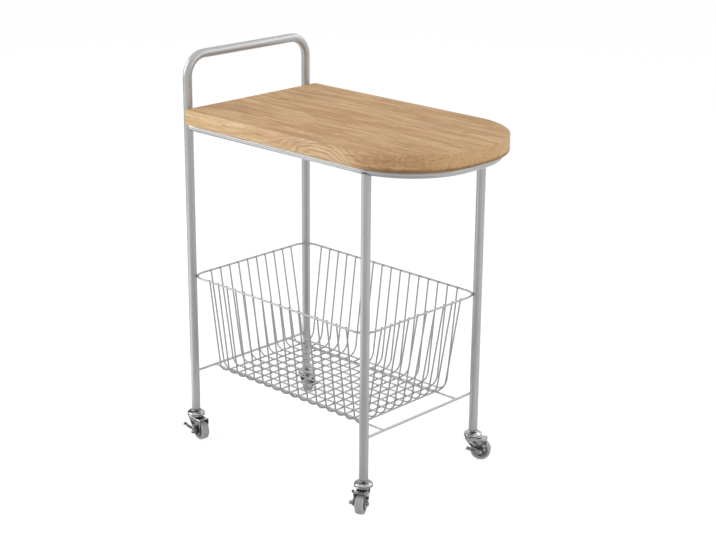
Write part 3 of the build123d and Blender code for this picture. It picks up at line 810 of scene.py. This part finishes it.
plated_metal, plate_in, plate_out = finish_group("plated_metal")
plate_cloud = noise(object_place(plated_metal), plate_in["Grain"], 4.0, 0.6)
plate_scuff = noise(object_place(plated_metal, (1.0, 1.0, 0.25)), 1600.0, 3.0, 0.7)
plate_stain = between(plate_cloud, 0.48, 0.72, 0.0, 0.8)
plate_colour = blended(plate_stain, plate_in["Colour"], plate_in["Worn colour"])
plate_smear = times(between(plate_scuff, 0.55, 0.80, 0.0, 1.0), 0.10)
plate_rough = plus(plus(plate_in["Roughness"], times(plate_stain, 0.10)), plate_smear)
end_finish(plate_out, plate_colour, plate_rough, plate_scuff)

zinc = coated(
    "zinc_plate", plated_metal, (0.320, 0.323, 0.328), (0.220, 0.220, 0.216),
    roughness=0.26, grain=260.0, metallic=1.0, bump=0.15, bump_distance=0.00005,
)


def skinned(rows, around=True):
    """Faces between neighbouring rows of points; each row meets its own start if it runs around."""
    faces = []
    for low, high in zip(rows, rows[1:]):
        for step in range(len(low) if around else len(low) - 1):
            after = (step + 1) % len(low)
            face = list(dict.fromkeys((low[step], low[after], high[after], high[step])))
            if len(face) > 2:
                faces.append(face)
    return faces


def turned(outline, sides=48, ring=False):
    """Points and faces of a shape turned about Z from (radius, height) places.

    A place may add a number of flats, and is then half as wide across them. With ring set the
    outline closes on itself; else it starts and ends on the axis.
    """
    points, rows = [], []
    for radius, height, *flats in outline:
        if radius == 0:
            rows.append([len(points)] * sides)
            points.append((0.0, 0.0, height))
            continue
        rows.append(list(range(len(points), len(points) + sides)))
        for step in range(sides):
            angle = 2.0 * math.pi * step / sides
            out = radius
            if flats:
                flat = 2.0 * math.pi / flats[0]
                out = radius / math.cos((angle + flat / 2) % flat - flat / 2)
            points.append((out * math.cos(angle), out * math.sin(angle), height))
    return points, skinned(rows + rows[:1] if ring else rows)


def moved(shape, matrix):
    points, faces = shape
    return [tuple(matrix @ Vector(point)) for point in points], faces


def turned_at(place, degrees, axis):
    """A turn about an axis, then a move to a place."""
    return Matrix.Translation(place) @ Matrix.Rotation(math.radians(degrees), 4, axis)


def joined(*shapes):
    points, faces = [], []
    for shape_points, shape_faces in shapes:
        start = len(points)
        points += shape_points
        faces += [[start + corner for corner in face] for face in shape_faces]
    return points, faces


def shape_mesh(name, shape, material, sharp_degrees=32.0):
    mesh = bpy.data.meshes.new(name)
    mesh.from_pydata(shape[0], [], shape[1])
    close_surface(mesh, sharp_degrees)
    mesh.materials.append(material)
    return mesh


def dome(radius, bottom, rise, degrees):
    """Places up the side of a dome, at those degrees round its curve."""
    angles = [math.radians(angle) for angle in degrees]
    return [(radius * math.cos(angle), bottom + rise * math.sin(angle)) for angle in angles]


screw_outline = [
    (0, SOCKET_FLOOR), (SOCKET_HALF_WIDTH, SOCKET_FLOOR, 6), (SOCKET_HALF_WIDTH, SOCKET_TOP, 6),
    (SOCKET_HALF_WIDTH + 0.00025, 0.00245, 6),
    *dome(SCREW_HEAD_RADIUS, 0.0, SCREW_HEAD_HEIGHT, (64, 54, 42, 30, 18, 6, 0)),
    (SCREW_HEAD_RADIUS, -SCREW_HEAD_SINK), (0, -SCREW_HEAD_SINK),
]
screw_shape = turned(screw_outline, 36)

tab_places = [(x, side * LEG_Y, 90.0 * -side) for x in SIDE_TABS_X for side in (-1, 1)]
tab_places.append((HOOP_RIGHT_X, 0.0, 180.0))
screw_set, tab_beads = [], []
for tab_x, tab_y, tab_turn in tab_places:
    inward = Vector((math.cos(math.radians(tab_turn)), math.sin(math.radians(tab_turn)), 0.0))
    head_place = Vector((tab_x, tab_y, TAB_UNDERSIDE)) + inward * TAB_LENGTH * 2 / 3
    screw_set.append(moved(screw_shape, turned_at(head_place, 180.0, "X")))
    bead_place = Vector((tab_x, tab_y, TAB_UNDERSIDE - TAB_BEAD_DROP))
    tab_beads.append((tuple(bead_place + inward * (HOOP_RADIUS - TAB_BEAD_SINK)), tab_turn))
screws = placed("worktop_screws", shape_mesh("worktop_screws", joined(*screw_set), zinc))
fit(screws, "frame", "steel_plated")
bead_runs("tab_welds", 2 * TAB_HALF_WIDTH, 0.0012, 10, tab_beads)


# The casters, four alike. A threaded stem goes up through a lock nut into the plug in the leg's
# foot; below it two pressed and chromed cups run on a ring of balls, and the lower one is one
# with the hooded fork. The legs, their plugs and the upper cups stay with the frame.

CASTERS = {
    "front_left": (LEFT_LEG_X, -LEG_Y, -7.5),
    "front_right": (RIGHT_LEG_X, -LEG_Y, -61.0),
    "back_left": (LEFT_LEG_X, LEG_Y, 119.0),
    "back_right": (RIGHT_LEG_X, LEG_Y, 34.0),
}
TRAIL = 0.021
AXLE_HEIGHT = 0.025
CUP_RADIUS = 0.0225
STEM_HOLE = 0.0041
FORK_TOP = 0.057
UPPER_CUP_BOTTOM = 0.0645
UPPER_CUP_TOP = 0.072
NUT_TOP = 0.076
NUT_HALF = 0.0065
PLUG_WALL = 0.0015
PLUG_DEPTH = 0.010
FORK_SHEET = 0.002
FORK_HALF_WIDTH = 0.014
CASTER_CARD_REACH = 0.17
CASTER_CARD_HEIGHT = 0.003
CASTER_CARD = 0.95
CASTER_CARD_SHADE = 0.05

chrome = coated(
    "caster_chrome", plated_metal, (0.440, 0.443, 0.449), (0.340, 0.340, 0.342),
    roughness=0.09, grain=90.0, metallic=1.0, bump=0.06, bump_distance=0.00004,
)

moulded_plastic, mould_in, mould_out = finish_group("moulded_plastic")
mould_place = object_place(moulded_plastic)
mould_grain = noise(mould_place, mould_in["Grain"])
mould_dust = between(noise(mould_place, 110.0, 5.0, 0.65), 0.46, 0.74, 0.0, 0.7)
mould_colour = blended(mould_dust, mould_in["Colour"], mould_in["Worn colour"])
mould_rough = plus(mould_in["Roughness"], times(mould_dust, 0.2))
end_finish(mould_out, mould_colour, mould_rough, mould_grain)

plug_grey = coated(
    "plug_plastic", moulded_plastic, (0.235, 0.237, 0.240), (0.290, 0.290, 0.288),
    roughness=0.42, grain=1500.0, metallic=0.0, bump=0.25, bump_distance=0.00005,
)

# A dappled card on the floor about each caster gives its chrome something broken to mirror.
for caster, (leg_x, leg_y, trail_angle) in CASTERS.items():
    card_corners = level_corners(leg_x, leg_y, CASTER_CARD_REACH, CASTER_CARD_REACH, CASTER_CARD_HEIGHT)
    reflector(f"{caster}_card", CASTER_CARD, card_corners, shade=CASTER_CARD_SHADE)


def on_casters(part, shape, material, body, slot, node, sharp_degrees=32.0):
    """Makes one piece of the caster for all four legs, in place of that node of each caster."""
    for caster, (leg_x, leg_y, trail_angle) in CASTERS.items():
        name = f"{caster}_{part}"
        here = moved(shape, turned_at((leg_x, leg_y, 0.0), trail_angle, "Z"))
        piece = placed(name, shape_mesh(name, here, material, sharp_degrees))
        fit(piece, "frame" if body == "frame" else f"{caster}_{body}", slot, f"{caster}_{node}")


def places_from(radius, height, offsets):
    """Outline places that far from one place, with the number of flats where one is given."""
    return [(radius + out, height + up, *flats) for out, up, *flats in offsets]


plug_inside = LEG_RADIUS - PLUG_WALL
plug_outline = [
    (0, NUT_TOP), (LEG_RADIUS - 0.0008, NUT_TOP), (LEG_RADIUS, NUT_TOP + 0.0008), (LEG_RADIUS, LEG_BOTTOM),
    (plug_inside, LEG_BOTTOM), (plug_inside, LEG_BOTTOM + PLUG_DEPTH), (0, LEG_BOTTOM + PLUG_DEPTH),
]
on_casters("foot_plug", turned(plug_outline), plug_grey, "frame", "plug_plastic", "plug")

nut_outline = [
    (0, UPPER_CUP_TOP),
    *places_from(NUT_HALF, UPPER_CUP_TOP, [(-0.0006, 0.0), (-0.0002, 0.0006, 6), (0.0, 0.0009, 6)]),
    *places_from(NUT_HALF, NUT_TOP, [(0.0, -0.0009, 6), (-0.0002, -0.0006, 6), (-0.0006, 0.0)]),
    (0, NUT_TOP),
]
on_casters("lock_nut", turned(nut_outline), zinc, "frame", "steel_plated", "nut")

cup_roll = [(-0.0016, 0.0012), (-0.0014, 0.0002), (-0.0008, 0.0), (-0.0002, 0.0004), (0.0, 0.0012)]
cup_crown = [(0.0132, 0.0), (0.0110, 0.0), (0.0100, -0.0005), (0.0080, -0.0005), (0.0075, 0.0)]
upper_outline = [
    (0.0150, UPPER_CUP_BOTTOM + 0.0012),
    *places_from(CUP_RADIUS, UPPER_CUP_BOTTOM, cup_roll),
    *places_from(CUP_RADIUS, UPPER_CUP_BOTTOM + 0.0030, [(0.0, -0.0006), (-0.0006, 0.0006)]),
    (0.0206, 0.0690), (0.0190, 0.0702), (0.0172, 0.0711), (0.0152, 0.0717),
    *places_from(0.0, UPPER_CUP_TOP, cup_crown),
    (STEM_HOLE, UPPER_CUP_TOP), (STEM_HOLE, UPPER_CUP_BOTTOM + 0.0012),
]
on_casters("upper_cup", turned(upper_outline, 64, ring=True), chrome, "frame", "caster_chrome", "upper_race")

for caster in CASTERS:
    refinish(f"{caster}_stem", zinc)
    refinish(f"{caster}_ball_ring", zinc)


# The turning half of each caster: the lower cup and the hooded fork, pressed from 2 mm steel
# sheet in one piece and chromed. Its two cheeks hang from the hood and narrow to a round foot
# about the axle bolt.

FORK_FRONT = -0.018
FORK_BACK = 0.036
FOOT_RADIUS = 0.012
FRONT_CORNER = 0.001
BACK_CORNER = 0.0015
HOOD_CORNER = 0.0030
HOOD_STEPS = 5
CHEEK_STEPS = 5
LEAST_CHEEK = 0.0004
BACK_EDGE_BOTTOM = 0.049
EDGE_ROUND = 0.0004


def hull_place(circles, angle):
    """The point of a hull of (x, z, radius) circles that lies furthest out at an angle."""
    out_x, out_z = math.cos(angle), math.sin(angle)
    x, z, radius = max(circles, key=lambda circle: circle[0] * out_x + circle[1] * out_z + circle[2])
    return x + radius * out_x, z + radius * out_z


def lower_edge(circles, steps=60, spacing=0.003):
    """Places along the lower side of a hull, from its front to its back, evenly close."""
    places = [hull_place(circles, math.pi + math.pi * step / steps) for step in range(steps + 1)]
    spaced = places[:1]
    for x, z in places[1:]:
        start_x, start_z = spaced[-1]
        gap = math.dist((start_x, start_z), (x, z))
        if gap < 1e-6:
            continue
        runs = math.ceil(gap / spacing)
        shares = [run / runs for run in range(1, runs + 1)]
        spaced += [(start_x + (x - start_x) * share, start_z + (z - start_z) * share) for share in shares]
    return spaced


def in_rows(points, size):
    """The numbers of points that were made row by row, as rows."""
    return [list(range(start, start + size)) for start in range(0, len(points), size)]


cheek_circles = [
    (TRAIL, AXLE_HEIGHT, FOOT_RADIUS),
    (FORK_FRONT + FRONT_CORNER, FORK_TOP - FRONT_CORNER, FRONT_CORNER),
    (FORK_BACK - BACK_CORNER, BACK_EDGE_BOTTOM + BACK_CORNER, BACK_CORNER),
]
wall_top = FORK_TOP - HOOD_CORNER
hood_bend = []
for step in range(HOOD_STEPS + 1):
    angle = math.pi / 2 * step / HOOD_STEPS
    hood_out = FORK_HALF_WIDTH - HOOD_CORNER + HOOD_CORNER * math.cos(angle)
    hood_bend.append((hood_out, wall_top + HOOD_CORNER * math.sin(angle)))
fork_points = []
for edge_x, edge_z in lower_edge(cheek_circles):
    wall_low = min(edge_z, wall_top - LEAST_CHEEK)
    cheek = [wall_low + (wall_top - wall_low) * share / CHEEK_STEPS for share in range(CHEEK_STEPS)]
    arm = [(FORK_HALF_WIDTH, height) for height in cheek] + hood_bend
    column = [(edge_x, -out, height) for out, height in arm]
    column += [(edge_x, out, height) for out, height in arm[::-1]]
    fork_points += column

fork_skin = bpy.data.meshes.new("fork_skin")
fork_skin.from_pydata(fork_points, [], skinned(in_rows(fork_points, len(column)), around=False))
close_surface(fork_skin)
fork_work = placed("fork_work", fork_skin)
highest_out = max(fork_skin.polygons, key=lambda polygon: polygon.center.z).normal.z
thickness = fork_work.modifiers.new("sheet", "SOLIDIFY")
thickness.thickness = FORK_SHEET
thickness.offset = -1.0 if highest_out > 0 else 1.0
thickness.use_even_offset = True
edge_round = fork_work.modifiers.new("edges", "BEVEL")
edge_round.width = EDGE_ROUND
edge_round.segments = 2
edge_round.limit_method = "ANGLE"
edge_round.angle_limit = math.radians(50.0)
fork_solid = mesh_of(fork_work)
fork_faces = [list(face.vertices) for face in fork_solid.polygons]
fork_shape = ([tuple(vertex.co) for vertex in fork_solid.vertices], fork_faces)
bpy.data.objects.remove(fork_work)

cup_floor = [(STEM_HOLE, -0.0005), (0.0150, -0.0005), (0.0156, 0.0002), (0.0166, 0.0010), (0.0190, 0.0021)]
cup_wall = [
    (-0.0008, 0.0030), (-0.0001, 0.0036), (0.0, 0.0042), (0.0, 0.0054),
    (-0.0006, 0.0060), (-0.0014, 0.0058), (-0.0016, 0.0050),
]
lower_outline = places_from(0.0, FORK_TOP, cup_floor) + places_from(CUP_RADIUS, FORK_TOP, cup_wall)
lower_outline.append((STEM_HOLE, FORK_TOP + 0.0050))
fork_whole = joined(fork_shape, turned(lower_outline, 64, ring=True))
on_casters("fork_pressing", fork_whole, chrome, "swivel", "caster_chrome", "fork", 38.0)


# Each wheel turns on an axle bolt through the fork: a hexagon head on one cheek and, outside the
# brake, a domed nut on the other, both zinc plated.

BOLT_HALF = 0.005
BOLT_RADIUS = 0.003
BOLT_HEAD_HEIGHT = 0.0045
NUT_FACE = 0.02065
DOME_HEIGHT = 0.009

along_axle = turned_at((TRAIL, 0.0, AXLE_HEIGHT), 90.0, "X")
head_end = -FORK_HALF_WIDTH - BOLT_HEAD_HEIGHT
nut_side = [(0.0, 0.0, 6), (0.0, 0.0042, 6), (-0.0003, 0.0045, 6), (-0.0006, 0.0049)]
bolt_outline = [
    (0, head_end),
    *places_from(BOLT_HALF, head_end, [(-0.0011, 0.0), (-0.0003, 0.0005, 6), (0.0, 0.0008, 6)]),
    (BOLT_HALF, -FORK_HALF_WIDTH, 6), (BOLT_RADIUS, -FORK_HALF_WIDTH), (BOLT_RADIUS, NUT_FACE),
    *places_from(BOLT_HALF, NUT_FACE, nut_side),
    *dome(BOLT_HALF - 0.0008, NUT_FACE + 0.0050, 0.0040, (15, 32, 48, 62, 76)),
    (0, NUT_FACE + DOME_HEIGHT),
]
on_casters("axle_bolt", moved(turned(bolt_outline), along_axle), zinc, "swivel", "steel_plated", "axle")


# The wheels. A pale grey, non-marking rubber tyre with a flat tread, sloping shoulders and two
# fine grooves is moulded onto a grey nylon hub with a dished web and a long boss.

WHEEL_RADIUS = 0.025
TYRE_HALF = 0.010
TYRE_INNER = 0.018
GROOVE_PLACE = 0.0036
GROOVE_DEPTH = 0.0005

tyre_rubber = coated(
    "tyre_rubber", moulded_plastic, (0.390, 0.390, 0.385), (0.470, 0.466, 0.456),
    roughness=0.58, grain=1100.0, metallic=0.0, bump=0.35, bump_distance=0.00008, specular=0.35,
)
hub_nylon = coated(
    "hub_nylon", moulded_plastic, (0.255, 0.257, 0.258), (0.330, 0.330, 0.326),
    roughness=0.40, grain=1300.0, metallic=0.0, bump=0.2, bump_distance=0.00005,
)


def mirrored(side):
    """An outline's second half, as its first half runs back on the other side of the wheel."""
    return [(out, -height) for out, height in side[::-1]]


shoulder = [(-0.0030, 0.0), (-0.0020, 0.0003), (-0.0004, 0.0018), (0.0, 0.0026)]
groove = [(0.0, -0.0006), (-GROOVE_DEPTH, -0.0003), (-GROOVE_DEPTH, 0.0003), (0.0, 0.0006)]
tyre_side = places_from(TYRE_INNER, -TYRE_HALF, [(0.0, 0.0004), (0.0006, 0.0)])
tyre_side += places_from(WHEEL_RADIUS, -TYRE_HALF, shoulder)
tyre_side += places_from(WHEEL_RADIUS, -GROOVE_PLACE, groove)
tyre_shape = moved(turned(tyre_side + mirrored(tyre_side), 72, ring=True), along_axle)
on_casters("wheel_tyre", tyre_shape, tyre_rubber, "wheel", "tyre_grey", "tyre")

hub_side = [
    (0.0033, 0.0117), (0.0060, 0.0117), (0.0065, 0.0112), (0.0068, 0.0062), (0.0076, 0.0054),
    (0.0148, 0.0054), (0.0156, 0.0060), (0.0160, 0.0078), (0.0164, 0.0080), (TYRE_INNER - 0.0001, 0.0080),
]
hub_shape = moved(turned(hub_side + mirrored(hub_side), 60, ring=True), along_axle)
on_casters("wheel_hub", hub_shape, hub_nylon, "wheel", "hub_plastic", "hub")


# The side brakes. Each has a black nylon cam that turns on the axle beside the fork's cheek, and
# a zinc-plated arm, pressed from 2 mm sheet with a round eye, stepped outwards to a foot tab.

CAM_INNER = 0.0143
CAM_OUTER = 0.0183
CAM_CIRCLES = [(0.0, 0.0, 0.008), (0.0, 0.008, 0.006)]
CAM_STEPS = 56
ARM_MIDDLE = 0.01935
ARM_HALF_SHEET = 0.001
ARM_STEP = 0.0052
ARM_REACH = 0.035
ARM_TAB = 0.0065
ARM_HALF_WIDTH = 0.0045
ARM_BEND = 0.002
ARM_CHAMFER = 0.0003
TAB_ROUND = 0.0020
TAB_LEAST = 0.0006
EYE_RADIUS = 0.007
REST_TILT = 20.0

cam_black = coated(
    "cam_nylon", moulded_plastic, (0.012, 0.012, 0.013), (0.040, 0.039, 0.037),
    roughness=0.38, grain=1400.0, metallic=0.0, bump=0.2, bump_distance=0.00005,
)

cam_layers = [
    (CAM_INNER, 0.0007), (CAM_INNER + 0.0002, 0.0002), (CAM_INNER + 0.0007, 0.0),
    (CAM_OUTER - 0.0007, 0.0), (CAM_OUTER - 0.0002, 0.0002), (CAM_OUTER, 0.0007),
]
cam_points = []
for out, inset in cam_layers:
    circles = [(x, z, radius - inset) for x, z, radius in CAM_CIRCLES]
    for step in range(CAM_STEPS):
        x, z = hull_place(circles, 2.0 * math.pi * step / CAM_STEPS)
        cam_points.append((TRAIL + x, -out, AXLE_HEIGHT + z))
cam_rows = in_rows(cam_points, CAM_STEPS)
cam_shape = (cam_points, [cam_rows[0], cam_rows[-1]] + skinned(cam_rows))
on_casters("cam", cam_shape, cam_black, "brake", "cam_black", "brake_cam")


def rounded_line(corners, radius, steps=6):
    """A flat line with its inner corners rounded to one radius."""
    places = [Vector(corners[0])]
    for before, corner, after in zip(corners, corners[1:], corners[2:]):
        corner = Vector(corner)
        arm_in = (Vector(before) - corner).normalized()
        arm_out = (Vector(after) - corner).normalized()
        half_angle = arm_in.angle(arm_out) / 2.0
        cut = radius / math.tan(half_angle)
        start, end = corner + arm_in * cut, corner + arm_out * cut
        middle = corner + (arm_in + arm_out).normalized() * (radius / math.sin(half_angle))
        for step in range(steps + 1):
            spoke = (start - middle).lerp(end - middle, step / steps).normalized() * radius
            places.append(middle + spoke)
    places.append(Vector(corners[-1]))
    return places


arm_corners = [
    (EYE_RADIUS, ARM_MIDDLE),
    (-ARM_REACH * 0.4, ARM_MIDDLE),
    (-ARM_REACH * 0.7, ARM_MIDDLE + ARM_STEP),
    (-ARM_REACH, ARM_MIDDLE + ARM_STEP),
    (-ARM_REACH, ARM_MIDDLE + ARM_STEP + ARM_TAB),
]
eye_start, *arm_bends, tab_top = rounded_line(arm_corners, ARM_BEND)
eye_places = [Vector((EYE_RADIUS * math.cos(math.radians(angle)), ARM_MIDDLE)) for angle in range(4, 138, 8)]
tab_places = [tab_top - Vector((0.0, TAB_ROUND * share)) for share in (1.0, 0.7, 0.45, 0.25, 0.1, 0.0)]
arm_line = [eye_start, *eye_places, *arm_bends, *tab_places]
arm_points = []
for index, place in enumerate(arm_line):
    ahead = arm_line[min(index + 1, len(arm_line) - 1)]
    behind = arm_line[max(index - 1, 0)]
    along = (ahead - behind).normalized()
    across = Vector((along.y, -along.x))
    half_width = ARM_HALF_WIDTH
    if place.x > -EYE_RADIUS:
        half_width = math.sqrt(max(EYE_RADIUS**2 - place.x**2, 0.0))
        if place.x < 0.0:
            half_width = max(half_width, ARM_HALF_WIDTH)
    from_tip = (tab_top - place).length
    if from_tip < TAB_ROUND:
        tip_round = max(TAB_ROUND**2 - (TAB_ROUND - from_tip) ** 2, 0.0)
        half_width = ARM_HALF_WIDTH - TAB_ROUND + math.sqrt(tip_round)
    half_width = max(half_width, TAB_LEAST)
    flat_sheet, flat_width = ARM_HALF_SHEET - ARM_CHAMFER, half_width - ARM_CHAMFER
    upper = [(ARM_HALF_SHEET, flat_width), (flat_sheet, half_width), (-flat_sheet, half_width)]
    upper.append((-ARM_HALF_SHEET, flat_width))
    section = upper + [(out, -up) for out, up in upper[::-1]]
    for out, up in section:
        spot = place + across * out
        arm_points.append((spot.x, -spot.y, up))
arm_rows = in_rows(arm_points, len(section))
arm_faces = skinned(arm_rows) + [arm_rows[0], arm_rows[-1]]
arm_shape = moved((arm_points, arm_faces), turned_at((TRAIL, 0.0, AXLE_HEIGHT), REST_TILT, "Y"))
on_casters("brake_arm", arm_shape, zinc, "brake", "steel_plated", "brake_lever", 40.0)
